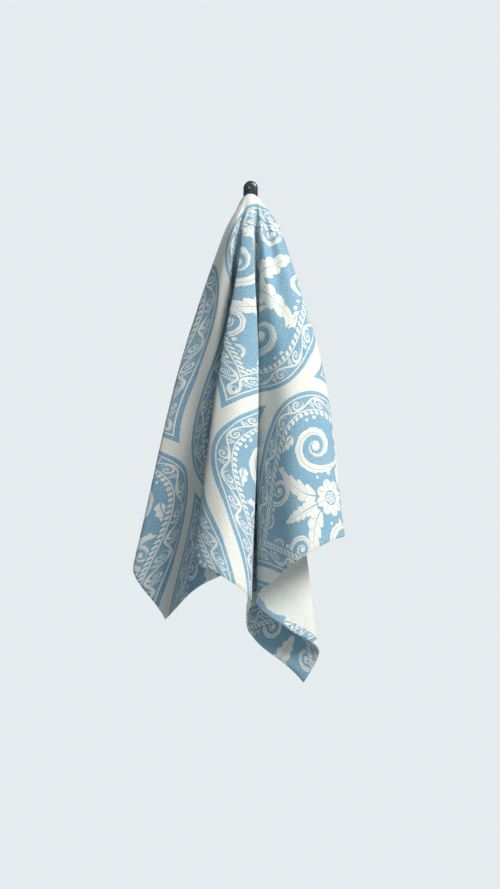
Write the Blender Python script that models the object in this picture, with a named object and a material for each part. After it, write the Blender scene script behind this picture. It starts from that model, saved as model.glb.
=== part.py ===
"""A cotton tea towel hung by its middle on a small black wall hook.

Units are metres, +Z is up, +X is to the viewer's right and the front faces -Y.
The wall plane is y = 0 and the origin is the middle of the hook plate's back face.
"""
import math

import bmesh
import bpy
import numpy as np
from mathutils import Matrix, Vector

MM = 0.001

# Towel, cut size and the point of the flat cloth that sits on the hook
TOWEL_WIDTH = 750 * MM
TOWEL_HEIGHT = 490 * MM
TOWEL_THICKNESS = 1.5 * MM
LEFT_OF_CROWN = 318 * MM
BELOW_CROWN = 446 * MM
RIGHT_OF_CROWN = TOWEL_WIDTH - LEFT_OF_CROWN
ABOVE_CROWN = TOWEL_HEIGHT - BELOW_CROWN

# Hook plate, prong and screw
PLATE_WIDTH = 18 * MM
PLATE_LENGTH = 90 * MM
PLATE_THICKNESS = 4.5 * MM
PLATE_EDGE = 3.3 * MM
PLATE_ABOVE_CROWN = 18.4 * MM
PRONG_RADIUS = 3.4 * MM
PRONG_TIP_RADIUS = 3.9 * MM
PRONG_REACH = 40 * MM
PRONG_DROP = 52 * MM
PRONG_BEND = 12 * MM
SCREW_RADIUS = 3.4 * MM
SCREW_HEIGHT = 1.3 * MM
SCREW_OFFSET = (-3.6 * MM, 8.2 * MM)
GAP = 0.3 * MM
CLOTH_CLEARANCE = 3.6 * MM

CROWN = Vector((0.0, -PRONG_REACH, PLATE_LENGTH / 2 - PLATE_ABOVE_CROWN))

# Distance along the cloth from the crown to the three levels of the fold table
SHOULDER, WAIST, SKIRT = 60 * MM, 220 * MM, 460 * MM
SHOULDER_ROUNDING = 30 * MM
SHOULDER_SPREAD = 13 * MM
SHOULDER_SLOPE = 0.36
STEEPEST = 0.95
TURN_PULL = 2.2

# Rounded cap of cloth over the prong's tip
CAP_DISTANCE = 11 * MM
CAP_CURVE = 11 * MM
CAP_FROM, CAP_TO = 5 * MM, 14 * MM
CAP_ACROSS = 9.7 * MM
CAP_DEEP = 9.3 * MM
CAP_TURN = math.radians(-14)

# Each row is one line of the cloth running down from the crown.
# Columns: line, angle in the flat cloth from straight down (degrees, + to the right),
# hung length over flat length, then x and y in millimetres at shoulder, waist and skirt.
FOLD_LINES = (
    ("back middle left", -140, 1.00, -8, -14.5, -8, -9, -8, -8),
    ("back left", -115, 1.00, -14, -15, 8, -8, 26, -7),
    ("top left corner", -97.9, 1.00, -20, -19, -12, -11, -2, -7),
    ("back pleat left, rear", -79, 1.00, -26, -22.5, -73, -13.5, -122, -8),
    ("back pleat left, fore", -75.5, 1.00, -27.5, -25, -73, -18.5, -122, -13),
    ("back pleat right, rear", -59.5, 1.00, -27.5, -31, -25, -24, -25, -18),
    ("back pleat right, fore", -56.5, 1.00, -28, -33.5, -25, -29, -25, -23),
    ("left silhouette, rear", -44, 1.00, -31.5, -39, -82, -34, -136, -26),
    ("left silhouette, fore", -41, 1.00, -32, -43.5, -83, -40, -138, -33),
    ("bottom left corner", -35.5, 0.985, -29.5, -53, -62, -52, -93, -46),
    ("left panel inner", -27, 0.99, -25.5, -61, -40, -66, -61, -79),
    ("left valley", -19.5, 1.00, -20.5, -65.5, -24, -58, -29, -61),
    ("left valley turn", -16.5, 1.00, -19.2, -64.5, -21, -51.5, -26, -55),
    ("hidden ridge, fore", -10.5, 1.00, -17.6, -63.3, -47, -46, -84, -42),
    ("hidden ridge, rear", -8, 1.00, -16.1, -62.8, -47, -42, -84, -37),
    ("hidden valley", 4, 1.00, -13.4, -65.5, -7, -43, -9, -41),
    ("column inner wall", 9, 1.00, -11, -69.5, -10, -62, -14, -68),
    ("column left ridge", 17, 1.00, -7.5, -71.5, -36.5, -80, -67.5, -103),
    ("column front", 22, 1.00, -2.5, -72.5, -15, -90, -35, -127),
    ("column right ridge", 28.2, 1.00, 2.5, -71, 9, -80, 1.5, -100),
    ("slit wall", 31.7, 1.00, 3.5, -65.5, 5.5, -62, -2, -70),
    ("slit valley", 36, 1.00, 4.5, -60, 9, -45, 5, -38),
    ("lowest corner", 44, 0.985, 6.2, -57.5, 33, -39, 52, -34),
    ("turned ridge", 47.9, 0.99, 8.6, -57.5, 39, -44, 68.5, -41),
    ("turned middle", 53, 1.00, 10.2, -60, 24, -51, 40, -56),
    ("right panel edge", 57.7, 1.00, 11.2, -65, 9.5, -62, 8.5, -75),
    ("right panel rise", 63.5, 1.00, 15, -67, 26, -82, 30, -112),
    ("right panel ridge", 69, 1.00, 21.5, -57, 47, -91, 63, -140),
    ("right panel fall", 75, 1.00, 28.5, -58.5, 70, -84, 99, -122),
    ("right silhouette", 80.5, 1.01, 34, -51, 85, -62, 117, -82),
    ("right back fold", 88, 1.00, 37, -43, 76, -40, 98, -40),
    ("top right corner", 95.8, 1.00, 35, -34, 50, -26, 36, -14),
    ("back right", 115, 1.00, 22, -20, 24, -12, 30, -8),
    ("back middle right", 140, 1.00, 9, -16, 12, -10, 14, -8),
    ("back middle", 180, 1.00, 0, -14, 0, -9, 0, -8),
)

# Grid of the towel: columns round the crown, rings from the crown to the hem
COLUMN_STEPS = (0.0, 0.2, 0.5, 0.8)
NARROW_STEPS = (0.0, 0.5)
NARROW = math.radians(3.6)
RINGS = 20
FIRST_RING = 5 * MM


def new_material(name, colour, roughness, metallic=0.0):
    """A plain Principled material."""
    material = bpy.data.materials.new(name)
    material.use_nodes = True
    shader = material.node_tree.nodes["Principled BSDF"]
    shader.inputs["Base Color"].default_value = (*colour, 1.0)
    shader.inputs["Roughness"].default_value = roughness
    shader.inputs["Metallic"].default_value = metallic
    material.diffuse_color = (*colour, 1.0)
    return material


def new_object(name, mesh, material):
    """Link one named object that carries one material."""
    mesh.materials.append(material)
    part = bpy.data.objects.new(name, mesh)
    bpy.context.scene.collection.objects.link(part)
    return part


def mesh_from_bmesh(name, bm):
    """Turn a bmesh into a mesh whose normals point outwards."""
    bmesh.ops.recalc_face_normals(bm, faces=bm.faces)
    mesh = bpy.data.meshes.new(name)
    bm.to_mesh(mesh)
    bm.free()
    return mesh


def hem_distance(angle):
    """Distance in the flat cloth from the crown to the hem, in one direction."""
    across, down = math.sin(angle), math.cos(angle)
    sides = []
    if abs(across) > 1e-9:
        sides.append((RIGHT_OF_CROWN if across > 0 else LEFT_OF_CROWN) / abs(across))
    if abs(down) > 1e-9:
        sides.append((BELOW_CROWN if down > 0 else ABOVE_CROWN) / abs(down))
    return min(sides)


def spread(distance):
    """How far out the cloth has swung at a distance from the crown: quick at first."""
    rounded = SHOULDER_SPREAD * (1 - np.exp(-distance / SHOULDER_ROUNDING))
    return SHOULDER_SLOPE * distance + rounded


def spline(knots, values, at):
    """Cubic Hermite curve through values at uneven knots, straight past both ends."""
    steps = np.diff(knots)
    slopes = np.diff(values, axis=0) / steps[:, None]
    tangents = np.empty_like(values)
    weight = (steps[:-1] / (steps[:-1] + steps[1:]))[:, None]
    tangents[1:-1] = slopes[:-1] * (1 - weight) + slopes[1:] * weight
    tangents[0] = slopes[0]
    tangents[-1] = slopes[-1]
    before = np.concatenate([steps[:1], steps[:-1]])
    after = np.concatenate([steps[1:], steps[-1:]])
    place = np.clip(np.searchsorted(knots, at) - 1, 0, len(steps) - 1)
    width = steps[place]
    inside = np.clip((at - knots[place]) / width, 0, 1)[:, None]
    beyond = (at - knots[-1]).clip(min=0)[:, None]
    start, end = values[place], values[place + 1]
    square, cube = inside ** 2, inside ** 3
    curve = (2 * cube - 3 * square + 1) * start + (3 * square - 2 * cube) * end
    pull_start = np.minimum(width, TURN_PULL * before[place])[:, None]
    pull_end = np.minimum(width, TURN_PULL * after[place])[:, None]
    curve += (cube - 2 * square + inside) * tangents[place] * pull_start
    curve += (cube - square) * tangents[place + 1] * pull_end
    return curve + beyond * tangents[-1]


def fold_line_points(row, distances):
    """Places along one fold line, at distances along the cloth from the crown."""
    hung = row[2]
    x_shoulder, y_shoulder, x_waist, y_waist, x_skirt, y_skirt = (v * MM for v in row[3:])
    facing = math.radians(row[1]) + CAP_TURN
    cap = (CAP_ACROSS * math.sin(facing), -CAP_DEEP * math.cos(facing))
    levels = spread(np.array([0.0, CAP_DISTANCE, SHOULDER, WAIST, SKIRT]))
    places = np.array([(CROWN.x, CROWN.y), (CROWN.x + cap[0], CROWN.y + cap[1]),
                       (x_shoulder, y_shoulder), (x_waist, y_waist), (x_skirt, y_skirt)])
    fine = np.linspace(0.0, max(distances.max(), SKIRT), 400)
    flat = spline(levels, places, spread(fine))
    step = np.diff(fine)
    outward = np.minimum(np.linalg.norm(np.diff(flat, axis=0), axis=1) / step, STEEPEST)
    drop = np.concatenate([[0.0], np.cumsum(np.sqrt(hung ** 2 - outward ** 2) * step)])
    x = np.interp(distances, fine, flat[:, 0])
    y = np.interp(distances, fine, flat[:, 1])
    return np.stack([x, y, CROWN.z - np.interp(distances, fine, drop)], axis=1)


def cap_points(angles, distances):
    """Round cap of cloth right over the prong's tip."""
    facing = angles[:, None] + CAP_TURN
    bent = np.minimum(distances / CAP_CURVE, math.pi / 2)
    out = CAP_CURVE * np.sin(bent)
    down = CAP_CURVE * (1 - np.cos(bent))
    return np.stack([CROWN.x + out * np.sin(facing), CROWN.y - out * np.cos(facing),
                     CROWN.z - down], axis=2)


def line_strides():
    """Room between neighbouring fold lines, as a share of the distance from the crown."""
    strides = []
    for here, ahead in zip(FOLD_LINES, FOLD_LINES[1:] + FOLD_LINES[:1]):
        gaps = []
        for column, level in ((3, SHOULDER), (5, WAIST), (7, SKIRT)):
            gap = math.hypot(ahead[column] - here[column], ahead[column + 1] - here[column + 1])
            gaps.append(gap * MM / level)
        strides.append(sum(gaps) / len(gaps))
    return np.array(strides)


def towel_surface(angles, distances):
    """Middle surface of the hung towel: one point for each angle and distance."""
    turn = 2 * math.pi
    strides = line_strides()
    around = strides.sum()
    knots = np.concatenate([[0.0], np.cumsum(strides)[:-1]])
    flat = np.radians([row[1] for row in FOLD_LINES])
    flat = np.concatenate([flat[-1:] - turn, flat, flat[:1] + turn])
    places = np.interp(angles, flat, np.concatenate([knots[-1:] - around, knots, [around]]))
    knots = np.concatenate([knots[-3:] - around, knots, knots[:3] + around])
    samples = np.linspace(0.0, distances.max(), 320)
    lines = np.array([fold_line_points(row, samples) for row in FOLD_LINES])
    lines = np.concatenate([lines[-3:], lines, lines[:3]])
    rows = spline(knots, lines.reshape(len(knots), -1), places)
    rows = rows.reshape(len(angles), len(samples), 3)
    points = np.empty(distances.shape + (3,))
    for column in range(len(angles)):
        for axis in range(3):
            points[column, :, axis] = np.interp(distances[column], samples, rows[column, :, axis])
    share = np.clip((distances - CAP_FROM) / (CAP_TO - CAP_FROM), 0, 1)
    share = (share * share * (3 - 2 * share))[:, :, None]
    return cap_points(angles, distances) * (1 - share) + points * share


def column_angles():
    """Angles of the grid's columns: every fold line, every corner, even in between."""
    marks = [math.radians(row[1]) for row in FOLD_LINES]
    for across in (-LEFT_OF_CROWN, RIGHT_OF_CROWN):
        for up in (-BELOW_CROWN, ABOVE_CROWN):
            marks.append(math.atan2(across, -up))
    marks = sorted(marks)
    marks = [mark for i, mark in enumerate(marks) if i == 0 or mark - marks[i - 1] > math.radians(1)]
    angles = []
    for start, end in zip(marks, marks[1:] + [marks[0] + 2 * math.pi]):
        steps = NARROW_STEPS if end - start < NARROW else COLUMN_STEPS
        angles.extend(start + (end - start) * step for step in steps)
    return np.array(angles)


def build_towel(material):
    """The towel as one closed sheet in its hanging folds."""
    angles = column_angles()
    reach = np.array([hem_distance(angle) for angle in angles])
    first = np.log(FIRST_RING / reach) / math.log(1 / RINGS)
    steps = np.arange(1, RINGS + 1) / RINGS
    distances = reach[:, None] * steps[None, :] ** first[:, None]
    points = towel_surface(angles, distances)
    bm = bmesh.new()
    pole = bm.verts.new(CROWN)
    columns = [[bm.verts.new(point) for point in column] for column in points]
    for here, there in zip(columns, columns[1:] + columns[:1]):
        bm.faces.new((pole, here[0], there[0]))
        for ring in range(RINGS - 1):
            bm.faces.new((here[ring], here[ring + 1], there[ring + 1], there[ring]))
    mesh = mesh_from_bmesh("towel", bm)
    towel = new_object("towel", mesh, material)
    sheet = towel.modifiers.new("sheet", "SOLIDIFY")
    sheet.thickness = TOWEL_THICKNESS
    sheet.offset = 0.0
    sheet.use_even_offset = False
    return towel


def build_plate(material):
    """Back plate with round ends, flat behind and eased round its front edge."""
    straight = PLATE_LENGTH / 2 - PLATE_WIDTH / 2
    sides = 20
    outline = []
    for i in range(sides + 1):
        angle = math.pi * i / sides
        outline.append((PLATE_WIDTH / 2 * math.cos(angle), straight + PLATE_WIDTH / 2 * math.sin(angle)))
    outline += [(-x, -z) for x, z in outline]
    bm = bmesh.new()
    back = bm.faces.new([bm.verts.new((x, 0.0, z)) for x, z in outline])
    front = bmesh.ops.extrude_face_region(bm, geom=[back])["geom"]
    raised = [item for item in front if isinstance(item, bmesh.types.BMVert)]
    bmesh.ops.translate(bm, verts=raised, vec=(0.0, -PLATE_THICKNESS, 0.0))
    rim = [edge for edge in bm.edges if all(v.co.y < -PLATE_THICKNESS / 2 for v in edge.verts)]
    bmesh.ops.bevel(bm, geom=rim, offset=PLATE_EDGE, segments=5, profile=0.5, affect="EDGES")
    return new_object("hook_plate", mesh_from_bmesh("hook_plate", bm), material)


def prong_route():
    """Middle line of the prong: out of the plate, round the bend and up to the tip."""
    low = CROWN.z - PRONG_DROP
    tip = CROWN.z - CLOTH_CLEARANCE - TOWEL_THICKNESS / 2 - PRONG_TIP_RADIUS
    route = [Vector((0.0, -PLATE_THICKNESS - GAP, low))]
    centre = Vector((0.0, -PRONG_REACH + PRONG_BEND, low + PRONG_BEND))
    turns = 8
    for i in range(turns + 1):
        angle = math.pi / 2 * i / turns
        across = Vector((0.0, -math.sin(angle), -math.cos(angle)))
        route.append(centre + PRONG_BEND * across)
    rise = 5
    start = route[-1].z
    for i in range(1, rise + 1):
        route.append(Vector((0.0, -PRONG_REACH, start + (tip - start) * i / rise)))
    return route


def build_prong(material):
    """Round bar bent up into a hook, with a ball end that the cloth hangs on."""
    sides = 14
    route = prong_route()
    bm = bmesh.new()
    rings = []
    for i, place in enumerate(route):
        ahead = route[min(i + 1, len(route) - 1)] - route[max(i - 1, 0)]
        side = Vector((1.0, 0.0, 0.0))
        normal = side.cross(ahead).normalized()
        ring = []
        for k in range(sides):
            angle = 2 * math.pi * k / sides
            ring.append(bm.verts.new(place + PRONG_RADIUS * (math.cos(angle) * side + math.sin(angle) * normal)))
        rings.append(ring)
    bm.faces.new(rings[0])
    bm.faces.new(rings[-1])
    for low, high in zip(rings, rings[1:]):
        for k in range(sides):
            bm.faces.new((low[k], low[(k + 1) % sides], high[(k + 1) % sides], high[k]))
    prong = new_object("hook_prong", mesh_from_bmesh("hook_prong", bm), material)
    ball_bm = bmesh.new()
    bmesh.ops.create_uvsphere(ball_bm, u_segments=sides, v_segments=10, radius=PRONG_TIP_RADIUS,
                              matrix=Matrix.Translation(route[-1]))
    ball = new_object("tip_guide", mesh_from_bmesh("tip_guide", ball_bm), material)
    ball.hide_render = True
    ball.display_type = "WIRE"
    union = prong.modifiers.new("ball end", "BOOLEAN")
    union.operation = "UNION"
    union.object = ball
    return prong


def build_screw(material):
    """Low domed screw head on the top of the plate."""
    sides = 24
    rings = ((1.0, 0.0), (1.0, 0.45), (0.9, 0.75), (0.68, 0.93), (0.36, 1.0))
    centre = Vector((SCREW_OFFSET[0], -PLATE_THICKNESS - GAP, CROWN.z + SCREW_OFFSET[1]))
    bm = bmesh.new()
    loops = []
    for radius, height in rings:
        loop = []
        for k in range(sides):
            angle = 2 * math.pi * k / sides
            offset = Vector((math.cos(angle) * SCREW_RADIUS * radius, -height * SCREW_HEIGHT,
                             math.sin(angle) * SCREW_RADIUS * radius))
            loop.append(bm.verts.new(centre + offset))
        loops.append(loop)
    bm.faces.new(loops[0])
    bm.faces.new(loops[-1])
    for low, high in zip(loops, loops[1:]):
        for k in range(sides):
            bm.faces.new((low[k], low[(k + 1) % sides], high[(k + 1) % sides], high[k]))
    return new_object("hook_screw", mesh_from_bmesh("hook_screw", bm), material)


def main():
    """Clear the scene and build the towel and its hook."""
    for old in list(bpy.data.objects):
        bpy.data.objects.remove(old, do_unlink=True)
    cloth = new_material("towel_cloth", (0.55, 0.67, 0.74), 0.9)
    black = new_material("hook_black", (0.012, 0.012, 0.013), 0.4)
    build_towel(cloth)
    build_plate(black)
    build_prong(black)
    build_screw(black)


main()
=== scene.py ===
"""A printed cotton tea towel hung by its middle on a small black wall hook."""
import math

import bmesh
import bpy
import numpy as np
from mathutils import Matrix, Vector


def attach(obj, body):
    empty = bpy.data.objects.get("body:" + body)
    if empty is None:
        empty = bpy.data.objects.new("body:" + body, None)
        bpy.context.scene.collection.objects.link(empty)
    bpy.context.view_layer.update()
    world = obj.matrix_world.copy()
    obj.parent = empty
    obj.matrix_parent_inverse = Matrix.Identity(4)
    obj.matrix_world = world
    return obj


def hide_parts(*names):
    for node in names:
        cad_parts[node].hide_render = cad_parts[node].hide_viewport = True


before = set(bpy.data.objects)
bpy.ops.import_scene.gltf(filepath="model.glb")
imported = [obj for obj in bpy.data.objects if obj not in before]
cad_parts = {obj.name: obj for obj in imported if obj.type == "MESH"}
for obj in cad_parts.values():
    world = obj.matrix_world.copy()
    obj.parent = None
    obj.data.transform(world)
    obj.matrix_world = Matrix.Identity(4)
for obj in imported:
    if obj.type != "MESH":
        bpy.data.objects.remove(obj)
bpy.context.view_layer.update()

MM = 0.001


# Tea towel
# One rectangle of thin cotton twill, 750 by 490 mm, printed on one face. It hangs by a point near
# the middle of its top edge, so the whole cloth runs down from there in long soft folds and its
# four corners hang at four heights.

LEFT_OF_CROWN = 318 * MM
RIGHT_OF_CROWN = 432 * MM
BELOW_CROWN = 446 * MM
ABOVE_CROWN = 44 * MM
FLAT_SIZE = (LEFT_OF_CROWN + RIGHT_OF_CROWN, BELOW_CROWN + ABOVE_CROWN)
CLOTH_THICKNESS = 0.9 * MM

CROWN = np.array((0.0, -0.040, 0.0266))
SHOULDER, WAIST, SKIRT = 60 * MM, 220 * MM, 460 * MM
SHOULDER_ROUNDING = 30 * MM
SHOULDER_SPREAD = 13 * MM
SHOULDER_SLOPE = 0.36
STEEPEST = 0.95
TURN_PULL = 2.2
CAP_DISTANCE = 11 * MM
CAP_CURVE = 11 * MM
CAP_FROM, CAP_TO = 5 * MM, 14 * MM
CAP_ACROSS = 9.7 * MM
CAP_DEEP = 9.3 * MM
CAP_TURN = math.radians(-14)

# Each row is one line of the cloth running down from the crown.
# Columns: line, angle in the flat cloth from straight down (degrees, + to the right),
# hung length over flat length, then x and y in millimetres at shoulder, waist and skirt.
FOLD_LINES = (
    ("back middle left", -140, 1.00, -8, -14.5, -8, -9, -8, -8),
    ("back left", -115, 1.00, -14, -15, 8, -8, 26, -7),
    ("top left corner", -97.9, 1.00, -20, -19, -12, -11, -2, -7),
    ("back pleat left, rear", -79, 1.00, -26, -22.5, -73, -13.5, -122, -8),
    ("back pleat left, fore", -75.5, 1.00, -27.5, -25, -73, -18.5, -122, -13),
    ("back pleat right, rear", -59.5, 1.00, -27.5, -31, -25, -24, -25, -18),
    ("back pleat right, fore", -56.5, 1.00, -28, -33.5, -25, -29, -25, -23),
    ("left silhouette, rear", -44, 1.00, -31.5, -39, -82, -34, -136, -26),
    ("left silhouette, fore", -41, 1.00, -32, -43.5, -83, -40, -138, -33),
    ("bottom left corner", -35.5, 0.985, -29.5, -53, -62, -52, -93, -46),
    ("left panel inner", -27, 0.99, -25.5, -61, -40, -66, -61, -79),
    ("left valley", -19.5, 1.00, -20.5, -65.5, -24, -58, -29, -61),
    ("left valley turn", -16.5, 1.00, -19.2, -64.5, -21, -51.5, -26, -55),
    ("hidden ridge, fore", -10.5, 1.00, -17.6, -63.3, -47, -46, -84, -42),
    ("hidden ridge, rear", -8, 1.00, -16.1, -62.8, -47, -42, -84, -37),
    ("hidden valley", 4, 1.00, -13.4, -65.5, -7, -43, -9, -41),
    ("column inner wall", 9, 1.00, -11, -69.5, -10, -62, -14, -68),
    ("column left ridge", 17, 1.00, -7.5, -71.5, -36.5, -80, -67.5, -103),
    ("column front", 22, 1.00, -2.5, -72.5, -15, -90, -35, -127),
    ("column right ridge", 28.2, 1.00, 2.5, -71, 9, -80, 1.5, -100),
    ("slit wall", 31.7, 1.00, 3.5, -65.5, 5.5, -62, -2, -70),
    ("slit valley", 36, 1.00, 4.5, -60, 9, -45, 5, -38),
    ("lowest corner", 44, 0.985, 6.2, -57.5, 33, -39, 52, -34),
    ("turned ridge", 47.9, 0.99, 8.6, -57.5, 39, -44, 68.5, -41),
    ("turned middle", 53, 1.00, 10.2, -60, 24, -51, 40, -56),
    ("right panel edge", 57.7, 1.00, 11.2, -65, 9.5, -62, 8.5, -75),
    ("right panel rise", 63.5, 1.00, 15, -67, 26, -82, 30, -112),
    ("right panel ridge", 69, 1.00, 21.5, -57, 47, -91, 63, -140),
    ("right panel fall", 75, 1.00, 28.5, -58.5, 70, -84, 99, -122),
    ("right silhouette", 80.5, 1.01, 34, -51, 85, -62, 117, -82),
    ("right back fold", 88, 1.00, 37, -43, 76, -40, 98, -40),
    ("top right corner", 95.8, 1.00, 35, -34, 50, -26, 36, -14),
    ("back right", 115, 1.00, 22, -20, 24, -12, 30, -8),
    ("back middle right", 140, 1.00, 9, -16, 12, -10, 14, -8),
    ("back middle", 180, 1.00, 0, -14, 0, -9, 0, -8),
)


def spread(distance):
    """How far out the cloth has swung at a distance from the crown: quick at first."""
    rounded = SHOULDER_SPREAD * (1 - np.exp(-distance / SHOULDER_ROUNDING))
    return SHOULDER_SLOPE * distance + rounded


def tangents_of(knots, values):
    """Slopes of a smooth curve through values at uneven knots, straight at both ends."""
    steps = np.diff(knots)
    slopes = np.diff(values, axis=0) / steps.reshape((-1,) + (1,) * (values.ndim - 1))
    weight = (steps[:-1] / (steps[:-1] + steps[1:])).reshape((-1,) + (1,) * (values.ndim - 1))
    inner = slopes[:-1] * (1 - weight) + slopes[1:] * weight
    return np.concatenate([slopes[:1], inner, slopes[-1:]])


def curve_between(knots, at):
    """Interval each place falls in, and the four weights of its Hermite curve."""
    steps = np.diff(knots)
    before = np.concatenate([steps[:1], steps[:-1]])
    after = np.concatenate([steps[1:], steps[-1:]])
    place = np.clip(np.searchsorted(knots, at) - 1, 0, len(steps) - 1)
    width = steps[place]
    inside = np.clip((at - knots[place]) / width, 0, 1)
    square, cube = inside ** 2, inside ** 3
    return place, (
        2 * cube - 3 * square + 1,
        3 * square - 2 * cube,
        (cube - 2 * square + inside) * np.minimum(width, TURN_PULL * before[place]),
        (cube - square) * np.minimum(width, TURN_PULL * after[place]),
    )


def fold_line_points(row, distances):
    """Places along one fold line, at distances along the cloth from the crown."""
    hung = row[2]
    facing = math.radians(row[1]) + CAP_TURN
    cap = (CROWN[0] + CAP_ACROSS * math.sin(facing), CROWN[1] - CAP_DEEP * math.cos(facing))
    table = [(row[column] * MM, row[column + 1] * MM) for column in (3, 5, 7)]
    levels = spread(np.array([0.0, CAP_DISTANCE, SHOULDER, WAIST, SKIRT]))
    places = np.array([tuple(CROWN[:2]), cap, *table])
    fine = np.linspace(0.0, distances.max(), 600)
    slopes = tangents_of(levels, places)
    place, weights = curve_between(levels, spread(fine))
    start, end, lead, trail = (weight[:, None] for weight in weights)
    flat = places[place] * start + places[place + 1] * end + slopes[place] * lead + slopes[place + 1] * trail
    flat += (spread(fine) - levels[-1]).clip(min=0)[:, None] * slopes[-1]
    step = np.diff(fine)
    outward = np.minimum(np.linalg.norm(np.diff(flat, axis=0), axis=1) / step, STEEPEST)
    drop = np.concatenate([[0.0], np.cumsum(np.sqrt(hung ** 2 - outward ** 2) * step)])
    return np.stack([
        np.interp(distances, fine, flat[:, 0]),
        np.interp(distances, fine, flat[:, 1]),
        CROWN[2] - np.interp(distances, fine, drop),
    ], axis=1)


def line_strides():
    """Room between neighbouring fold lines, as a share of the distance from the crown."""
    strides = []
    for here, ahead in zip(FOLD_LINES, FOLD_LINES[1:] + FOLD_LINES[:1]):
        gaps = []
        for column, level in ((3, SHOULDER), (5, WAIST), (7, SKIRT)):
            gap = math.hypot(ahead[column] - here[column], ahead[column + 1] - here[column + 1])
            gaps.append(gap * MM / level)
        strides.append(sum(gaps) / len(gaps))
    return np.array(strides)


LONGEST = math.hypot(RIGHT_OF_CROWN, BELOW_CROWN) + 2 * MM
LINE_SAMPLES = np.linspace(0.0, LONGEST, 400)

line_places = np.concatenate([[0.0], np.cumsum(line_strides())])
around = line_places[-1]
line_places = line_places[:-1]
line_angles = np.radians([row[1] for row in FOLD_LINES])
wrapped_angles = np.concatenate([
    line_angles[-1:] - 2 * math.pi, line_angles, line_angles[:1] + 2 * math.pi])
wrapped_places = np.concatenate([line_places[-1:] - around, line_places, [around]])
knots = np.concatenate([line_places[-3:] - around, line_places, line_places[:3] + around])
fold_lines = np.array([fold_line_points(row, LINE_SAMPLES) for row in FOLD_LINES])
fold_lines = np.concatenate([fold_lines[-3:], fold_lines, fold_lines[:3]])
fold_slopes = tangents_of(knots, fold_lines)


def hang(flat):
    """Where points of the flat cloth, (right, up) from the crown, hang on the hook."""
    angles = np.arctan2(flat[:, 0], -flat[:, 1])
    distances = np.hypot(flat[:, 0], flat[:, 1])
    place, weights = curve_between(knots, np.interp(angles, wrapped_angles, wrapped_places))
    along = np.clip(distances / LINE_SAMPLES[1], 0, len(LINE_SAMPLES) - 1.001)
    sample = along.astype(int)
    share = (along - sample)[:, None]

    def on(lines, row):
        return lines[row, sample] * (1 - share) + lines[row, sample + 1] * share

    start, end, lead, trail = (weight[:, None] for weight in weights)
    hung = on(fold_lines, place) * start + on(fold_lines, place + 1) * end
    hung += on(fold_slopes, place) * lead + on(fold_slopes, place + 1) * trail
    facing = angles + CAP_TURN
    bent = np.minimum(distances / CAP_CURVE, math.pi / 2)
    out = CAP_CURVE * np.sin(bent)
    cap = np.stack([
        CROWN[0] + out * np.sin(facing),
        CROWN[1] - out * np.cos(facing),
        CROWN[2] - CAP_CURVE * (1 - np.cos(bent)),
    ], axis=1)
    blend = np.clip((distances - CAP_FROM) / (CAP_TO - CAP_FROM), 0, 1)
    blend = (blend * blend * (3 - 2 * blend))[:, None]
    return cap * (1 - blend) + hung * blend


def printed_side(flat):
    """Unit normals of the hung cloth, on the side of its printed face."""
    reach = 0.8 * MM
    across = hang(flat + (reach, 0)) - hang(flat - (reach, 0))
    up = hang(flat + (0, reach)) - hang(flat - (0, reach))
    normal = np.cross(across, up)
    return normal / np.linalg.norm(normal, axis=1)[:, None]


def hem_distance(angle):
    """Distance in the flat cloth from the crown to the hem, in one direction."""
    across, down = math.sin(angle), math.cos(angle)
    sides = []
    if abs(across) > 1e-9:
        sides.append((RIGHT_OF_CROWN if across > 0 else LEFT_OF_CROWN) / abs(across))
    if abs(down) > 1e-9:
        sides.append((BELOW_CROWN if down > 0 else ABOVE_CROWN) / abs(down))
    return min(sides)


COLUMN_SPACING = 5.0 * MM
TOWEL_RINGS = 108
FIRST_RING = 1.6 * MM


def towel_columns():
    """Angles of the columns: each corner and fold line, and evenly spaced ones between."""
    marks = set(line_angles)
    for across in (-LEFT_OF_CROWN, RIGHT_OF_CROWN):
        for up in (-BELOW_CROWN, ABOVE_CROWN):
            marks.add(math.atan2(across, -up))
    marks = sorted(marks)
    marks = [mark for i, mark in enumerate(marks) if i == 0 or mark - marks[i - 1] > math.radians(0.3)]
    angles = []
    for start, end in zip(marks, marks[1:] + [marks[0] + 2 * math.pi]):
        length = (end - start) * min(hem_distance((start + end) / 2), SKIRT)
        count = max(4, round(length / COLUMN_SPACING))
        angles.extend(start + (end - start) * step / count for step in range(count))
    return np.array(angles)


def set_uv(mesh, flat_of_vertex):
    """Give every corner of every face its place in the flat cloth, in metres."""
    layer = mesh.uv_layers.new(name="flat")
    index = np.empty(len(mesh.loops), dtype=np.int32)
    mesh.loops.foreach_get("vertex_index", index)
    layer.data.foreach_set("uv", flat_of_vertex[index].astype(np.float32).ravel())


def add_piece(name, mesh, *materials):
    """Link one piece, smooth, with its materials."""
    for material in materials:
        mesh.materials.append(material)
    mesh.shade_smooth()
    piece = bpy.data.objects.new(name, mesh)
    bpy.context.scene.collection.objects.link(piece)
    return piece


angles = towel_columns()
reach = np.array([hem_distance(angle) for angle in angles])
power = np.log(FIRST_RING / reach) / math.log(1 / TOWEL_RINGS)
steps = np.arange(1, TOWEL_RINGS + 1) / TOWEL_RINGS
distances = reach[:, None] * steps[None, :] ** power[:, None]
flat = np.stack([distances * np.sin(angles)[:, None], -distances * np.cos(angles)[:, None]], axis=2)
flat = np.concatenate([[(1e-5, 0.0)], flat.reshape(-1, 2)])
middle = hang(flat)
normals = printed_side(flat)
normals[0] = (0, 0, 1)

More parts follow.
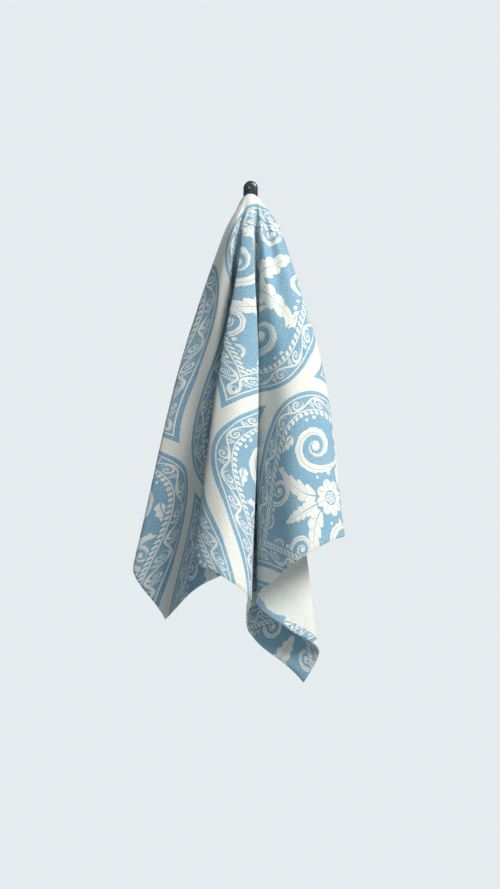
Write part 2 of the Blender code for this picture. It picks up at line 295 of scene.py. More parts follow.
columns = len(angles)
rim = 1 + np.arange(columns) * TOWEL_RINGS + TOWEL_RINGS - 1
rim_way = middle[rim] - middle[rim - 1]
rim_points = middle[rim] + rim_way / np.linalg.norm(rim_way, axis=1)[:, None] * CLOTH_THICKNESS / 2
points = np.concatenate([
    middle + normals * CLOTH_THICKNESS / 2,
    middle - normals * CLOTH_THICKNESS / 2,
    rim_points,
])
layer = len(middle)
faces = []
wrong_side = []
for column in range(columns):
    here = 1 + column * TOWEL_RINGS
    there = 1 + (column + 1) % columns * TOWEL_RINGS
    faces.append((0, here, there))
    faces.append((layer, layer + there, layer + here))
    wrong_side += [False, True]
    for ring in range(TOWEL_RINGS - 1):
        a, b = here + ring, there + ring
        faces.append((a, a + 1, b + 1, b))
        faces.append((layer + a, layer + b, layer + b + 1, layer + a + 1))
        wrong_side += [False, True]
    a, b = here + TOWEL_RINGS - 1, there + TOWEL_RINGS - 1
    edge, next_edge = 2 * layer + column, 2 * layer + (column + 1) % columns
    faces.append((a, edge, next_edge, b))
    faces.append((edge, layer + a, layer + b, next_edge))
    wrong_side += [False, False]

towel_mesh = bpy.data.meshes.new("towel_cloth")
towel_mesh.from_pydata(points.tolist(), [], faces)
set_uv(towel_mesh, np.concatenate([flat, flat, flat[rim]]))


class Amount:
    """A number that varies over a surface. Arithmetic on it adds Math nodes."""

    def __init__(self, tree, socket):
        self.tree = tree
        self.socket = socket

    def maths(self, operation, *others):
        return Amount(self.tree, add_node(self.tree, "ShaderNodeMath", {"operation": operation},
                                          dict(enumerate((self, *others)))).outputs[0])

    def swapped(self, operation, other):
        return Amount(self.tree, add_node(self.tree, "ShaderNodeMath", {"operation": operation},
                                          {0: other, 1: self}).outputs[0])

    def __add__(self, other):
        return self.maths("ADD", other)

    __radd__ = __add__

    def __sub__(self, other):
        return self.maths("SUBTRACT", other)

    def __rsub__(self, other):
        return self.swapped("SUBTRACT", other)

    def __mul__(self, other):
        return self.maths("MULTIPLY", other)

    __rmul__ = __mul__

    def __truediv__(self, other):
        return self.maths("DIVIDE", other)

    def __gt__(self, other):
        return self.maths("GREATER_THAN", other)

    def __abs__(self):
        return self.maths("ABSOLUTE")

    def sine(self):
        return self.maths("SINE")

    def cosine(self):
        return self.maths("COSINE")

    def root(self):
        return self.maths("SQRT")

    def least(self, other):
        return self.maths("MINIMUM", other)

    def most(self, other):
        return self.maths("MAXIMUM", other)

    def wrap(self, high, low):
        return self.maths("WRAP", high, low)

    def fold(self, size):
        return self.maths("PINGPONG", size)

    def edge(self, low, high):
        """0 below low, 1 above high and a smooth step between."""
        return Amount(self.tree, add_node(
            self.tree, "ShaderNodeMapRange", {"interpolation_type": "SMOOTHSTEP"},
            {"Value": self, "From Min": low, "From Max": high}).outputs[0])

    def towards(self, other, share):
        return self + (other - self) * share


def add_node(tree, kind, settings, sockets):
    """One node: its settings first, then the values or links of its sockets."""
    node = tree.nodes.new(kind)
    for name, value in settings.items():
        setattr(node, name, value)
    for name, value in sockets.items():
        socket = node.inputs[name]
        if isinstance(value, Amount):
            tree.links.new(value.socket, socket)
        elif isinstance(value, bpy.types.NodeSocket):
            tree.links.new(value, socket)
        else:
            socket.default_value = value
    return node


def blank_material(name, **constants):
    """A Principled material with its constant values set on the shader's own sockets."""
    material = bpy.data.materials.new(name)
    material.use_nodes = True
    shader = material.node_tree.nodes["Principled BSDF"]
    for socket, value in constants.items():
        shader.inputs[socket.replace("_", " ")].default_value = value
    return material, material.node_tree, shader


def colour_mix(tree, share, first, second):
    """Mix two colours, each a colour or a socket, by a share."""
    sockets = {"Factor": share, 6: first, 7: second}
    return add_node(tree, "ShaderNodeMix", {"data_type": "RGBA"}, sockets).outputs[2]


def from_polar(x, y, across, up):
    """Distance and angle of the print's coordinates round one centre."""
    dx, dy = x - across, y - up
    return (dx * dx + dy * dy).root(), dy.maths("ARCTAN2", dx)


# Scrolls of the print, one row each, in millimetres from the middle of its ogee panel.
# Columns: across, up, outer radius, hand (1 turns anticlockwise), start angle in degrees.
SCROLLS = (
    (66, 2, 30, 1, 205),
    (34, 78, 16, -1, 20),
    (41, -66, 18, -1, 130),
    (17, -98, 10, 1, 60),
)
# Leaves of the print: foot across and up, direction in degrees, length, half width, bend.
LEAVES = (
    (0, 24, 90, 62, 15.0, 0.0),
    (9, 20, 52, 64, 17.0, 0.011),
    (0, -22, -90, 52, 11.0, 0.0),
    (9, -20, -66, 56, 15.0, -0.013),
    (76, 34, 122, 36, 9.0, 0.010),
    (92, -20, -118, 40, 9.5, -0.012),
    (14, 92, 70, 22, 5.5, 0.010),
)
# Berries of the print: across, up, radius.
BERRIES = (
    (30, 8, 3.0), (34, -2, 2.3), (30, -11, 1.8), (26, -84, 2.4), (100, 14, 2.6), (101, 4, 1.9),
    (59, 54, 2.6), (53, 61, 2.0), (63, -50, 2.6), (68, -58, 1.9), (21, 108, 2.0),
)

CELL_WIDTH = 290.0
CELL_HEIGHT = 400.0
CELL_SHIFT = (52.0, 96.0)
VINE_PITCH = 27.0


def volute(x, y, across, up, radius, hand, start):
    """A scroll with a toothed outer edge and an engraved line, wound round a ball."""
    r, turn = from_polar(x, y, across, up)
    share = r / radius
    winding = share.maths("LOGARITHM", math.e) * 6.0 + turn * hand - math.radians(start)
    winding = winding.wrap(math.pi, -math.pi)
    teeth = (turn * (hand * 9 / (2 * math.pi))).maths("FRACT") * 0.42 * (winding > 0)
    thick = (share * 3.0).least((1.30 - share) * 3.2).least(1.75) - teeth
    slant = r * 0.17
    arm = (thick - abs(winding)) * slant
    engraved = (abs(winding + 0.35) * slant - 0.32).most(7.0 - r)
    return arm.least(engraved).most(radius * 0.18 - r)


def leaf(x, y, across, up, direction, size, half, bend):
    """A lobed leaf with a midrib and slanting side veins."""
    cos, sin = math.cos(math.radians(direction)), math.sin(math.radians(direction))
    dx, dy = x - across, y - up
    along = dx * cos + dy * sin
    off = abs(dy * cos - dx * sin + along * along * bend)
    share = (along / size).least(1.0).most(0.0)
    lobe = abs(((along - off * 0.6) * (math.pi / (half * 0.8))).sine())
    width = (share * math.pi).sine().root() * (1.12 - share * 0.62) * half * (0.68 + lobe * 0.36)
    midrib = off - (1 - share) * 0.9
    vein = abs((along - off * 0.9).wrap(half * 0.4, -half * 0.4)) - 0.35
    vein = vein.most(off - width * 0.66).most(half * 0.18 - off)
    return (width - off).least(midrib).least(vein)


def damask():
    """Node group of the print: its blue ink, 0 to 1, an all-over ogee damask on the flat cloth."""
    tree = bpy.data.node_groups.new("damask", "ShaderNodeTree")
    for name in ("Ink", "Across", "Up"):
        tree.interface.new_socket(name, in_out="OUTPUT", socket_type="NodeSocketFloat")
    uv = add_node(tree, "ShaderNodeUVMap", {"uv_map": "flat"}, {}).outputs[0]
    parts = add_node(tree, "ShaderNodeSeparateXYZ", {}, {0: uv}).outputs
    across, up = Amount(tree, parts[0]) * 1000, Amount(tree, parts[1]) * 1000
    x = (across + CELL_SHIFT[0]).fold(CELL_WIDTH / 2)
    y = up + CELL_SHIFT[1]
    phase = y * (2 * math.pi / CELL_HEIGHT)
    side = (1 - phase.cosine()) * (CELL_WIDTH / 4)
    slope = phase.sine() * (CELL_WIDTH / 4 * 2 * math.pi / CELL_HEIGHT)
    outer = x > side
    x = x.towards(CELL_WIDTH / 2 - x, outer)
    side = side.towards(CELL_WIDTH / 2 - side, outer)
    length = y * 1.27 - (phase * 2).sine() * 8.4
    y = (y + outer * (CELL_HEIGHT / 2)).wrap(CELL_HEIGHT, 0.0) - CELL_HEIGHT / 2
    ribbon = (side - x) / (slope * slope + 1).root()

    # Cream shapes carry a positive number, in millimetres inside their outline
    band = 8.5 - ribbon
    line = 0.8 - abs(ribbon - 14.2)
    step = length.wrap(VINE_PITCH / 2, -VINE_PITCH / 2)
    flip = ((length + VINE_PITCH / 2) * (math.pi / VINE_PITCH)).sine() > 0
    lift = (ribbon - 23.4) * (flip * 2 - 1)
    stem = 1.1 - abs(lift - (step * (math.pi / VINE_PITCH)).cosine() * 6.0)
    vine = volute(step, lift, 0.5, -1.6, 7.0, 1, 60).most(stem)
    vine = vine.most(leaf(step, lift, -11.5, 2.5, -62, 10.5, 3.2, 0.02))
    vine = vine.least(7.8 - abs(lift))
    cord = 0.8 - abs(ribbon - 32.4)
    pearl = length.wrap(3.3, -3.3)
    from_row = ribbon - 36.2
    pearls = 2.3 - (pearl * pearl + from_row * from_row * 0.7).root()
    cream = band.most(line).most(vine).most(pearls).most(cord)

    field = -100.0
    for row in SCROLLS:
        field = volute(x, y, *row).most(field)
    for row in LEAVES:
        field = leaf(x, y, *row).most(field)
    r, turn = from_polar(x, y, 0.0, 0.0)
    petals = abs((turn * 4).cosine()).root() * 7.5 + 15.5 - r
    ring = abs(r - 8.5) - 0.8
    spokes = (abs((turn * 4).sine()) * r * 0.25 - 0.35).most(12.5 - r)
    seeds = ((turn * 6 + r * 1.2).cosine() * 1.6 + 0.6).most(r - 8.0)
    flower = petals.least(ring).least(spokes).least(seeds)
    field = flower.most(field.least(r - 24.5))
    for centre, height, radius in BERRIES:
        r, turn = from_polar(x, y, centre, height)
        field = (radius - r).most(field)
    cream = cream.most(field.least(ribbon - 40.5))
    rough = Amount(tree, add_node(tree, "ShaderNodeTexNoise", {"noise_dimensions": "2D"},
                                  {"Vector": uv, "Scale": 900.0, "Detail": 1.0}).outputs[0]) - 0.5
    ink = 1 - (cream + rough * 0.5).edge(-0.15, 0.15)
    add_node(tree, "NodeGroupOutput", {}, {"Ink": ink, "Across": across, "Up": up})
    return tree


CREAM = (0.80, 0.80, 0.73, 1.0)
BLUE = (0.20, 0.40, 0.535, 1.0)
TWILL_PITCH = 1.9
THREAD_PITCH = 0.75


def weave(tree, across, up):
    """Height of the twill, 0 to 1: slanting ribs, cut by the threads that cross them."""
    uv = add_node(tree, "ShaderNodeUVMap", {"uv_map": "flat"}, {}).outputs[0]
    wander = Amount(tree, add_node(tree, "ShaderNodeTexNoise", {"noise_dimensions": "2D"},
                                   {"Vector": uv, "Scale": 160.0, "Detail": 2.0}).outputs[0]) - 0.5
    ribs = ((across + up * 0.8 + wander * 1.6) * (2 * math.pi / TWILL_PITCH)).sine()
    threads = ((across - up * 0.35) * (2 * math.pi / THREAD_PITCH)).sine()
    slubs = Amount(tree, add_node(tree, "ShaderNodeTexNoise", {"noise_dimensions": "2D"},
                                  {"Vector": uv, "Scale": 520.0, "Detail": 3.0}).outputs[0]) - 0.5
    return ribs * 0.34 + threads * 0.10 + slubs * 1.3 + 0.5


def cotton(name, print_group, turned):
    """One side of the cloth and its shader, with the print's ink and the twill's height."""
    material, tree, shader = blank_material(name, Roughness=0.86, Sheen_Weight=0.25,
                                            Sheen_Roughness=0.5, Specular_IOR_Level=0.2)
    printed = add_node(tree, "ShaderNodeGroup", {"node_tree": print_group}, {}).outputs
    ink, across, up = (Amount(tree, printed[key]) for key in ("Ink", "Across", "Up"))
    twill = weave(tree, across, up * turned)
    bump = add_node(tree, "ShaderNodeBump", {}, {"Strength": 0.9, "Distance": 0.0005, "Height": twill})
    tree.links.new(bump.outputs[0], shader.inputs["Normal"])
    return material, tree, shader, ink, twill


def printed_cotton(print_group):
    """The printed face: blue ink on cream cotton, thinner on the ribs of the twill."""
    material, tree, shader, ink, twill = cotton("printed_cotton", print_group, 1)
    uv = add_node(tree, "ShaderNodeUVMap", {"uv_map": "flat"}, {}).outputs[0]
    patches = Amount(tree, add_node(tree, "ShaderNodeTexNoise", {"noise_dimensions": "2D"},
                                    {"Vector": uv, "Scale": 28.0, "Detail": 2.0}).outputs[0])
    worn = (twill - 0.66).most(0.0) * 1.1
    cover = ink * (1 - worn) * (patches * 0.16 + 0.88)
    yarn = colour_mix(tree, twill.edge(0.0, 1.0), (0.70, 0.71, 0.655, 1), CREAM)
    dye = colour_mix(tree, twill.edge(0.1, 0.9), (0.14, 0.32, 0.45, 1), BLUE)
    tree.links.new(colour_mix(tree, cover, yarn, dye), shader.inputs["Base Color"])
    return material


def plain_cotton(print_group):
    """The wrong side: bare cream cotton with the print just showing through."""
    material, tree, shader, ink, twill = cotton("plain_cotton", print_group, -1)
    yarn = colour_mix(tree, twill.edge(0.0, 1.0), (0.72, 0.73, 0.67, 1), CREAM)
    tree.links.new(colour_mix(tree, ink * 0.14, yarn, (0.45, 0.62, 0.74, 1)), shader.inputs["Base Color"])
    return material


print_group = damask()
printed_face = printed_cotton(print_group)
plain_face = plain_cotton(print_group)
towel = add_piece("towel_cloth", towel_mesh, printed_face, plain_face)
towel_mesh.polygons.foreach_set("material_index", np.array(wrong_side, dtype=np.int32))
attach(towel, "root")
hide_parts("towel")


# Hem
# All four edges are turned twice to the wrong side, 10 mm wide, so the turned strip shows the
# print again. The strip lies flat on the cloth and swells a little along its fold.

HEM_WIDTH = 10 * MM
HEM_THICKNESS = 0.8 * MM
HEM_STATION = 4 * MM
# Section of the strip: share of its width in from the edge, then share of its thickness.
HEM_PROFILE = (
    (0.15, 0.10), (0.02, 0.45), (0.10, 0.85), (0.30, 1.05), (0.70, 1.0),
    (0.95, 0.85), (1.0, 0.5), (1.0, 0.08), (0.6, 0.02),
)


def edge_stations():
    """Points round the towel's outline, each with the way in, mitred at the corners."""
    corners = [(-LEFT_OF_CROWN, -BELOW_CROWN), (RIGHT_OF_CROWN, -BELOW_CROWN),
               (RIGHT_OF_CROWN, ABOVE_CROWN), (-LEFT_OF_CROWN, ABOVE_CROWN)]
    places, inwards = [], []
    for i, start in enumerate(corners):
        start = np.array(start)
        end = np.array(corners[(i + 1) % 4])
        run = (end - start) / np.linalg.norm(end - start)
        inward = np.array((-run[1], run[0]))
        count = round(np.linalg.norm(end - start) / HEM_STATION)
        for step in range(count):
            places.append(start + (end - start) * step / count)
            inwards.append(inward if step else inward + run)
    return np.array(places), np.array(inwards)


edge_places, edge_inwards = edge_stations()
stations = len(edge_places)
hem_points, hem_flat = [], []
for share, rise in HEM_PROFILE:
    place = edge_places + edge_inwards * share * HEM_WIDTH
    inner = edge_places + edge_inwards * max(share, 0.05) * HEM_WIDTH
    side = printed_side(inner)
    hem_points.append(hang(place) - side * (CLOTH_THICKNESS / 2 + rise * HEM_THICKNESS))
    hem_flat.append(edge_places - edge_inwards * share * HEM_WIDTH)
hem_points = np.concatenate(hem_points)
hem_flat = np.concatenate(hem_flat)
rows = len(HEM_PROFILE)
hem_faces = []
for row in range(rows):
    for station in range(stations):
        a, b = row * stations + station, row * stations + (station + 1) % stations
        lift = ((row + 1) % rows - row) * stations
        hem_faces.append((a, b, b + lift, a + lift))
hem_mesh = bpy.data.meshes.new("towel_hem")
hem_mesh.from_pydata(hem_points.tolist(), [], hem_faces)
set_uv(hem_mesh, hem_flat)
hem = add_piece("towel_hem", hem_mesh, printed_face)
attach(hem, "root")


# Hem stitching
# One row of lockstitch in off-white thread holds the hem all round, 1.2 mm from its inner fold.
# The same row shows on both sides of the cloth.

STITCH_LENGTH = 2.6 * MM
STITCH_PITCH = 3.2 * MM
STITCH_RADIUS = 0.22 * MM
STITCH_LINE = 8.8 * MM


def stitch_rows():
    """Two rows of points with normals, on the face and on the hem, for the stitches."""
    count = round(2 * sum(FLAT_SIZE) / STITCH_PITCH)
    corners = np.array([
        (-LEFT_OF_CROWN + STITCH_LINE, -BELOW_CROWN + STITCH_LINE),
        (RIGHT_OF_CROWN - STITCH_LINE, -BELOW_CROWN + STITCH_LINE),
        (RIGHT_OF_CROWN - STITCH_LINE, ABOVE_CROWN - STITCH_LINE),
        (-LEFT_OF_CROWN + STITCH_LINE, ABOVE_CROWN - STITCH_LINE),
    ])
    runs = np.roll(corners, -1, axis=0) - corners
    lengths = np.linalg.norm(runs, axis=1)
    marks = np.concatenate([[0.0], np.cumsum(lengths)])
    along = (np.arange(count) + 0.5) / count * marks[-1]
    side = np.searchsorted(marks, along) - 1
    unit = runs[side] / lengths[side][:, None]
    place = corners[side] + unit * (along - marks[side])[:, None]
    run = hang(place + unit * MM) - hang(place - unit * MM)
    run /= np.linalg.norm(run, axis=1)[:, None]
    normal = printed_side(place)
    face = hang(place) + normal * (CLOTH_THICKNESS / 2 + STITCH_RADIUS * 0.35)
    back = hang(place) - normal * (CLOTH_THICKNESS / 2 + 0.95 * HEM_THICKNESS + STITCH_RADIUS * 0.2)
    return np.concatenate([face, back]), np.concatenate([run, run]), np.concatenate([normal, -normal])


def stitch_tree(thread):
    """Geometry Nodes: one stitch on every point, turned along the row."""
    tree = bpy.data.node_groups.new("stitches", "GeometryNodeTree")
    tree.interface.new_socket("Geometry", in_out="INPUT", socket_type="NodeSocketGeometry")
    sockets = {}
    for name, value in (("Length", STITCH_LENGTH), ("Radius", STITCH_RADIUS)):
        socket = tree.interface.new_socket(name, in_out="INPUT", socket_type="NodeSocketFloat")
        socket.default_value = value
        sockets[name] = socket.identifier
    tree.interface.new_socket("Geometry", in_out="OUTPUT", socket_type="NodeSocketGeometry")
    start = add_node(tree, "NodeGroupInput", {}, {})
    end = add_node(tree, "NodeGroupOutput", {}, {})
    ball = add_node(tree, "GeometryNodeMeshUVSphere", {}, {"Segments": 6, "Rings": 4, "Radius": 1.0})
    half = add_node(tree, "ShaderNodeMath", {"operation": "MULTIPLY"}, {0: start.outputs["Length"], 1: 0.5})
    size = add_node(tree, "ShaderNodeCombineXYZ", {}, {
        0: half.outputs[0], 1: start.outputs["Radius"], 2: start.outputs["Radius"]})
    run = add_node(tree, "GeometryNodeInputNamedAttribute", {"data_type": "FLOAT_VECTOR"},
                   {"Name": "run"})
    turn = add_node(tree, "FunctionNodeAlignRotationToVector", {"axis": "X"},
                    {"Vector": run.outputs[0]})
    row = add_node(tree, "GeometryNodeInstanceOnPoints", {}, {
        "Points": start.outputs["Geometry"], "Instance": ball.outputs["Mesh"],
        "Rotation": turn.outputs[0], "Scale": size.outputs[0]})
    real = add_node(tree, "GeometryNodeRealizeInstances", {}, {"Geometry": row.outputs[0]})
    smooth = add_node(tree, "GeometryNodeSetShadeSmooth", {}, {"Geometry": real.outputs[0]})
    coloured = add_node(tree, "GeometryNodeSetMaterial", {},
                        {"Geometry": smooth.outputs[0], "Material": thread})
    tree.links.new(coloured.outputs[0], end.inputs[0])
    return tree, sockets


def plain_mesh(piece, name):
    """Turn a piece with its modifiers into a plain mesh piece of the same name."""
    graph = bpy.context.evaluated_depsgraph_get()
    mesh = bpy.data.meshes.new_from_object(piece.evaluated_get(graph))
    bpy.data.objects.remove(piece, do_unlink=True)
    result = bpy.data.objects.new(name, mesh)
    bpy.context.scene.collection.objects.link(result)
    return result


thread, tree, shader = blank_material("hem_thread", Roughness=0.8, Sheen_Weight=0.2)
place = add_node(tree, "ShaderNodeTexCoord", {}, {}).outputs["Object"]
twist = add_node(tree, "ShaderNodeTexWave", {"bands_direction": "DIAGONAL"},
                 {"Vector": place, "Scale": 900.0, "Distortion": 1.0}).outputs["Fac"]
tree.links.new(colour_mix(tree, twist, (0.55, 0.62, 0.65, 1), (0.74, 0.77, 0.76, 1)),
               shader.inputs["Base Color"])

stitch_points, stitch_runs, stitch_normals = stitch_rows()
stitch_mesh = bpy.data.meshes.new("hem_stitches")
stitch_mesh.from_pydata(stitch_points.tolist(), [], [])
run_attribute = stitch_mesh.attributes.new("run", "FLOAT_VECTOR", "POINT")
run_attribute.data.foreach_set("vector", stitch_runs.astype(np.float32).ravel())
stitches = bpy.data.objects.new("stitch_points", stitch_mesh)
bpy.context.scene.collection.objects.link(stitches)
stitch_group, stitch_inputs = stitch_tree(thread)
rows_of_stitches = stitches.modifiers.new("rows of stitches", "NODES")
rows_of_stitches.node_group = stitch_group
rows_of_stitches[stitch_inputs["Length"]] = STITCH_LENGTH
rows_of_stitches[stitch_inputs["Radius"]] = STITCH_RADIUS
stitches = plain_mesh(stitches, "hem_stitches")
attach(stitches, "root")


# Hook plate
# A cast steel plate with round ends, flat behind and crowned in front, in satin black paint.
# The paint is a little uneven, with small worn spots and some dust.

PLATE_WIDTH = 18 * MM
PLATE_LENGTH = 90 * MM
PLATE_THICKNESS = 4.5 * MM
PLATE_CROWNING = 5.4 * MM
PLATE_END_STEPS = 32
CROWNING_STEPS = 12


def paint():
    """Satin black paint, slightly uneven, with a faint orange peel."""
    material, tree, shader = blank_material("black_paint", Specular_IOR_Level=0.6, Coat_Roughness=0.2)
    place = add_node(tree, "ShaderNodeTexCoord", {}, {}).outputs["Object"]
    peel = add_node(tree, "ShaderNodeTexNoise", {}, {"Vector": place, "Scale": 1100.0, "Detail": 2.0})
    dust = Amount(tree, add_node(tree, "ShaderNodeTexNoise", {}, {
        "Vector": place, "Scale": 140.0, "Detail": 5.0, "Roughness": 0.65}).outputs[0])
    scuffs = Amount(tree, add_node(tree, "ShaderNodeTexNoise", {}, {
        "Vector": place, "Scale": 420.0, "Detail": 4.0, "Roughness": 0.7}).outputs[0])
    worn = scuffs.edge(0.60, 0.72)
    black = colour_mix(tree, dust.edge(0.3, 0.75), (0.018, 0.020, 0.020, 1), (0.046, 0.050, 0.049, 1))
    tree.links.new(colour_mix(tree, worn * 0.5, black, (0.07, 0.072, 0.07, 1)), shader.inputs["Base Color"])
    tree.links.new((dust * 0.22 + worn * 0.12 + 0.22).socket, shader.inputs["Roughness"])
    tree.links.new((0.35 - worn * 0.25).socket, shader.inputs["Coat Weight"])
    bump = add_node(tree, "ShaderNodeBump", {}, {"Strength": 0.3, "Distance": 0.0002,
                                                 "Height": peel.outputs[0]})
    tree.links.new(bump.outputs[0], shader.inputs["Normal"])
    return material


def loft(name, rings, material, ends=None):
    """Close a row of equal rings into one smooth solid, with a fan to a middle point at each end."""
    bm = bmesh.new()
    loops = [[bm.verts.new(point) for point in ring] for ring in rings]
    count = len(loops[0])
    for low, high in zip(loops, loops[1:]):
        for k in range(count):
            bm.faces.new((low[k], low[(k + 1) % count], high[(k + 1) % count], high[k]))
    ends = ends or [sum(ring, Vector()) / count for ring in (rings[0], rings[-1])]
    for loop, end in zip((loops[0], loops[-1]), ends):
        middle_vertex = bm.verts.new(end)
        for k in range(count):
            bm.faces.new((loop[k], loop[(k + 1) % count], middle_vertex))
    bmesh.ops.recalc_face_normals(bm, faces=bm.faces)
    mesh = bpy.data.meshes.new(name)
    bm.to_mesh(mesh)
    bm.free()
    return add_piece(name, mesh, material)


def plate_ring(inset, depth):
    """The plate's outline, stepped in from its edge, at one depth from the wall."""
    radius = PLATE_WIDTH / 2 - inset
    straight = PLATE_LENGTH / 2 - PLATE_WIDTH / 2
    ring = []
    for end in (1, -1):
        for step in range(PLATE_END_STEPS + 1):
            angle = math.pi * step / PLATE_END_STEPS
            ring.append(Vector((end * radius * math.cos(angle), -depth,
                                end * (straight + radius * math.sin(angle)))))
    return ring


black_paint = paint()
plate_rings = [plate_ring(0.4 * MM, 0.0), plate_ring(0.08 * MM, 0.12 * MM), plate_ring(0.0, 0.45 * MM)]
for step in range(1, CROWNING_STEPS + 1):
    angle = math.pi / 2 * step / CROWNING_STEPS
    plate_rings.append(plate_ring(PLATE_CROWNING * (1 - math.cos(angle)),
                                  0.9 * MM + (PLATE_THICKNESS - 1.15 * MM) * math.sin(angle)))
for inset, depth in ((6.6, 4.41), (7.8, 4.47), (8.6, 4.50)):
    plate_rings.append(plate_ring(inset * MM, depth * MM))
plate = loft("hook_plate_painted", plate_rings, black_paint)
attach(plate, "root")
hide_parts("hook_plate")


# Hook prong
# A round steel bar set into the plate, bent up into a hook and ended in a ball, which lifts the
# cloth to a point. It wears the same paint as the plate.

PRONG_RADIUS = 3.4 * MM
PRONG_TIP_RADIUS = 3.9 * MM
PRONG_DROP = 52 * MM
PRONG_BEND = 12 * MM
PRONG_GAP = 0.3 * MM
PRONG_UNDER_CLOTH = 3.6 * MM
SOLID_CLOTH_HALF = 0.75 * MM
PRONG_TIP_HEIGHT = float(CROWN[2]) - PRONG_UNDER_CLOTH - SOLID_CLOTH_HALF - PRONG_TIP_RADIUS
PRONG_SIDES = 32
PRONG_STEPS = 16


def prong_stations():
    """Middle points of the bar, with the way it runs and its radius."""
    reach_out = -float(CROWN[1])
    low = float(CROWN[2]) - PRONG_DROP
    out, up = Vector((0, -1, 0)), Vector((0, 0, 1))
    start = Vector((0, -PLATE_THICKNESS - PRONG_GAP, low))
    stations = [(start + out * away * MM, out, PRONG_RADIUS + flare * MM)
                for away, flare in ((0.0, 1.1), (0.5, 1.1), (1.2, 0.5), (2.4, 0.0))]
    centre = Vector((0, -reach_out + PRONG_BEND, low + PRONG_BEND))
    for step in range(PRONG_STEPS + 1):
        angle = math.pi / 2 * step / PRONG_STEPS
        across = Vector((0, -math.sin(angle), -math.cos(angle)))
        way = Vector((0, -math.cos(angle), math.sin(angle)))
        stations.append((centre + across * PRONG_BEND, way, PRONG_RADIUS))
    tip = Vector((0, -reach_out, PRONG_TIP_HEIGHT))
    neck = math.asin(PRONG_RADIUS / PRONG_TIP_RADIUS)
    for step in range(PRONG_STEPS + 1):
        angle = neck + (math.pi - 0.12 - neck) * step / PRONG_STEPS
        centre = tip - up * math.cos(angle) * PRONG_TIP_RADIUS
        stations.append((centre, up, math.sin(angle) * PRONG_TIP_RADIUS))
    return stations


prong_rings = []
for centre, way, radius in prong_stations():
    side = Vector((1, 0, 0))
    other = way.cross(side)
    prong_rings.append([centre + radius * (side * math.cos(turn) + other * math.sin(turn))
                        for turn in np.linspace(0, 2 * math.pi, PRONG_SIDES, endpoint=False)])
prong = loft("hook_prong_painted", prong_rings, black_paint)
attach(prong, "root")
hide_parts("hook_prong")


# Hook screw
# One round-headed screw near the top of the plate, left of its middle, blackened and driven by a
# cross recess.

SCREW_RADIUS = 3.4 * MM
SCREW_HEIGHT = 1.3 * MM
SCREW_OFFSET = (-3.6 * MM, 8.2 * MM)
SCREW_GAP = 0.3 * MM
SCREW_RIM = 0.05 * MM
SCREW_TURN = math.radians(24)
SCREW_SIDES = 64
RECESS_ARM, RECESS_WIDTH, RECESS_DEPTH = 1.9 * MM, 0.42 * MM, 0.9 * MM


def screw_height(across, up):
    """Height of the screw's head over the plate, with its cross recess."""
    far = min(math.hypot(across, up) / SCREW_RADIUS, 1.0)
    dome = SCREW_HEIGHT * (1 - far ** 2.6) ** 0.55
    wide = max(0.0, 1 - (min(abs(across), abs(up)) / RECESS_WIDTH) ** 4)
    long = max(0.0, 1 - (max(abs(across), abs(up)) / RECESS_ARM) ** 3)
    return dome - RECESS_DEPTH * wide * long


head = Vector((SCREW_OFFSET[0], -PLATE_THICKNESS - SCREW_GAP, float(CROWN[2]) + SCREW_OFFSET[1]))
tilt = Matrix.Rotation(SCREW_TURN, 3, "Y")
screw_rings = []
for share in (*np.linspace(0.04, 0.96, 24), 1.0):
    ring = []
    for turn in np.linspace(0, 2 * math.pi, SCREW_SIDES, endpoint=False):
        across, up = share * SCREW_RADIUS * math.cos(turn), share * SCREW_RADIUS * math.sin(turn)
        ring.append(head + tilt @ Vector((across, -SCREW_RIM - screw_height(across, up), up)))
    screw_rings.append(ring)
screw_ends = [head + Vector((0, -SCREW_RIM - screw_height(0, 0), 0)), head]

screw_black, tree, shader = blank_material("blackened_screw", Metallic=0.85, Specular_IOR_Level=0.6)
place = add_node(tree, "ShaderNodeTexCoord", {}, {}).outputs["Object"]
grain = Amount(tree, add_node(tree, "ShaderNodeTexNoise", {}, {
    "Vector": place, "Scale": 700.0, "Detail": 3.0}).outputs[0])
tree.links.new(colour_mix(tree, grain, (0.03, 0.032, 0.032, 1), (0.11, 0.115, 0.115, 1)),
               shader.inputs["Base Color"])
tree.links.new((grain * 0.3 + 0.2).socket, shader.inputs["Roughness"])
screw = loft("hook_screw_head", screw_rings, screw_black, screw_ends)
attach(screw, "root")
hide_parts("hook_screw")


# Floor, light and camera
# A pale floor just below the picture, one large soft light at the upper right in front and a weak
# one behind. The world's lighting is dimmer than the pale backdrop that the camera sees.

FLOOR_REACH = 2
FLOOR_LEVEL = -1.08
PICTURE_HEIGHT = 889
CROWN_ROW = 193
PIXEL = 1.22 * MM
CAMERA_DISTANCE = 6.0
CAMERA_AIM = (-0.0006, -0.065)

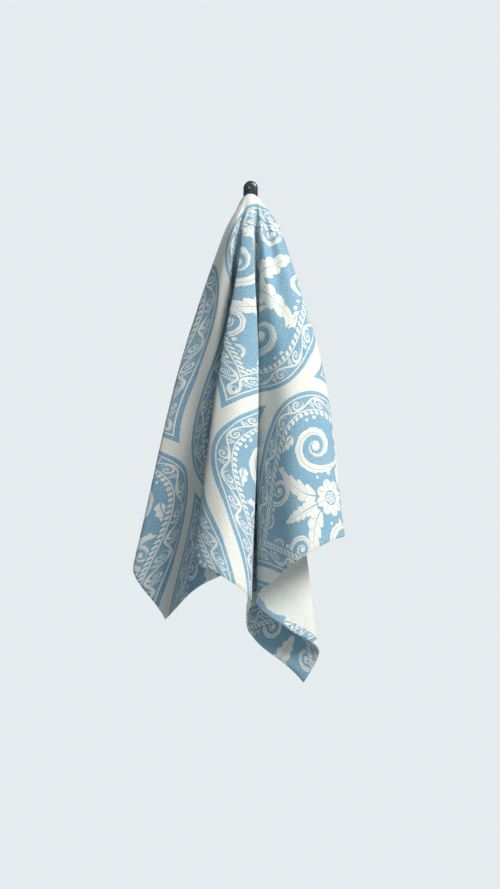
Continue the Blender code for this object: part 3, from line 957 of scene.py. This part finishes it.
floor_mesh = bpy.data.meshes.new("floor")
floor_corners = [(x * FLOOR_REACH, y * FLOOR_REACH, FLOOR_LEVEL)
                 for x, y in ((-1, -1), (1, -1), (1, 1), (-1, 1))]
floor_mesh.from_pydata(floor_corners, [], [(0, 1, 2, 3)])
floor_material, tree, shader = blank_material("pale_floor", Roughness=1.0, Specular_IOR_Level=0.05,
                                              Base_Color=(0.62, 0.65, 0.67, 1))
floor = add_piece("floor", floor_mesh, floor_material)

world = bpy.data.worlds.new("studio")
bpy.context.scene.world = world
world.use_nodes = True
backdrop = world.node_tree.nodes["Background"]
seen = add_node(world.node_tree, "ShaderNodeLightPath", {}, {}).outputs["Is Camera Ray"]
backdrop_colour = colour_mix(world.node_tree, seen, (0.14, 0.175, 0.195, 1), (0.79, 0.84, 0.86, 1))
world.node_tree.links.new(backdrop_colour, backdrop.inputs["Color"])
bpy.context.scene.view_settings.view_transform = "Standard"


def soft_light(name, place, target, size, power, colour):
    """A square soft light aimed at a point."""
    lamp = bpy.data.lights.new(name, "AREA")
    lamp.size = size
    lamp.energy = power
    lamp.color = colour
    light = bpy.data.objects.new(name, lamp)
    light.location = place
    light.rotation_euler = (Vector(target) - Vector(place)).to_track_quat("-Z", "Y").to_euler()
    bpy.context.scene.collection.objects.link(light)


soft_light("key", (1.75, -1.85, 1.7), (0.0, -0.06, -0.25), 1.2, 150.0, (1.0, 0.985, 0.96))
soft_light("back_fill", (-1.3, 2.3, 0.9), (0.0, 0.0, -0.25), 1.6, 60.0, (0.93, 0.97, 1.0))

camera = bpy.data.cameras.new("camera")
camera.sensor_width = 36.0
camera.lens = camera.sensor_width * CAMERA_DISTANCE / (PICTURE_HEIGHT * PIXEL)
camera_object = bpy.data.objects.new("camera", camera)
camera_object.location = (CAMERA_AIM[0], CAMERA_AIM[1] - CAMERA_DISTANCE,
                          float(CROWN[2]) - (PICTURE_HEIGHT / 2 - CROWN_ROW) * PIXEL)
camera_object.rotation_euler = (math.pi / 2, 0.0, 0.0)
bpy.context.scene.collection.objects.link(camera_object)
bpy.context.scene.camera = camera_object
